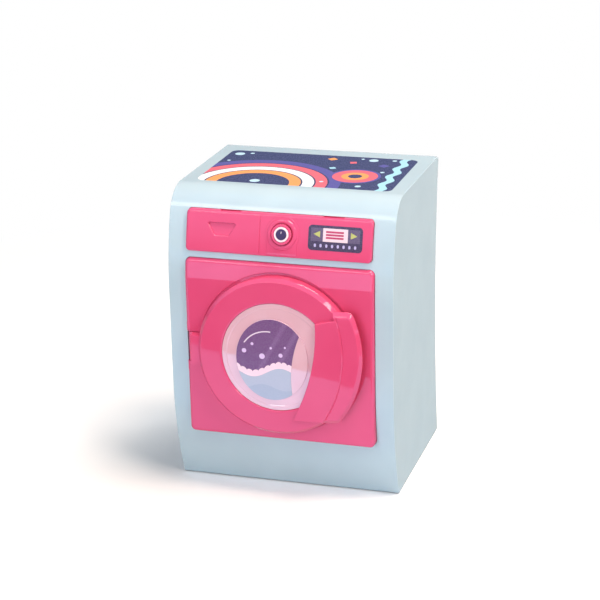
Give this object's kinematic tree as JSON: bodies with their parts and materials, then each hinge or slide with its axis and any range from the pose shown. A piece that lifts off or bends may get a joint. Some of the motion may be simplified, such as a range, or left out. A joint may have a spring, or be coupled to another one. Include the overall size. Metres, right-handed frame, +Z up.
{
  "type": "toy washing machine",
  "caption": "Small free-standing toy front-loader with a curved cabinet, hinged round door, turning drum and clicking control knob.",
  "frame": {"origin": "middle of the bounding box on the surface that the four foot pads stand on", "axes": "+Z up, -Y out of the front, where the door and the knob are, and +X to the right as seen by someone facing the door, towards the door's handle"},
  "size_m": [0.15, 0.14, 0.2012],
  "materials": {
    "cabinet_plastic": "pale blue moulded ABS, glossy",
    "pink_plastic": "hot pink moulded ABS, glossy",
    "white_plastic": "white moulded polypropylene",
    "drum_plastic": "pale grey moulded polypropylene",
    "lens_plastic": "milky moulded polystyrene, glossy",
    "collar_plastic": "pale pink moulded ABS",
    "cap_plastic": "dark plum moulded ABS with a pale pointer",
    "bush_plastic": "natural acetal",
    "foot_rubber": "soft grey rubber pads",
    "screw_steel": "zinc plated steel",
    "spring_steel": "bright spring steel",
    "top_label_print": "printed gloss vinyl, navy ground with plain bars, rings and a wave",
    "display_label_print": "printed gloss vinyl, dark purple ground with bars, arrows and dots",
    "lens_label_print": "printed gloss vinyl, dark purple above a pale wave"
  },
  "bodies": {
    "cabinet": {"cabinet_shell": "cabinet_plastic", "back_cover": "cabinet_plastic", "back_cover_screws": "screw_steel", "base_plate": "cabinet_plastic", "base_screws": "screw_steel", "foot_pads": "foot_rubber", "top_label": "top_label_print", "control_fascia": "pink_plastic", "fascia_screws": "screw_steel", "display_label": "display_label_print", "click_spring": "spring_steel", "click_spring_screw": "screw_steel", "door_surround": "pink_plastic", "surround_screws": "screw_steel", "hinge_pin": "spring_steel", "tub": "white_plastic", "tub_screws": "screw_steel", "drum_bush": "bush_plastic"},
    "door": {"door_ring": "pink_plastic", "door_lens": "lens_plastic", "lens_label": "lens_label_print", "door_liner": "white_plastic", "liner_screws": "screw_steel"},
    "knob": {"knob": "pink_plastic", "knob_collar": "collar_plastic", "knob_cap": "cap_plastic", "click_wheel": "white_plastic", "knob_washer": "screw_steel", "knob_screw": "screw_steel"},
    "drum": {"drum": "drum_plastic", "drum_washer": "screw_steel", "drum_screw": "screw_steel"}
  },
  "joints": [
    {"name": "door_hinge", "type": "hinge", "parent": "cabinet", "child": "door", "pos_m": [-0.0592, -0.0571, 0.0984], "axis": [0, 0, -1], "range_deg": [0, 95]},
    {"name": "knob_turn", "type": "hinge", "parent": "cabinet", "child": "knob", "pos_m": [0.0022, -0.05389, 0.1772], "axis": [0, -0.9697, 0.2444], "continuous": true},
    {"name": "drum_spin", "type": "hinge", "parent": "cabinet", "child": "drum", "pos_m": [0, 0, 0.0984], "axis": [0, 1, 0], "continuous": true}
  ]
}
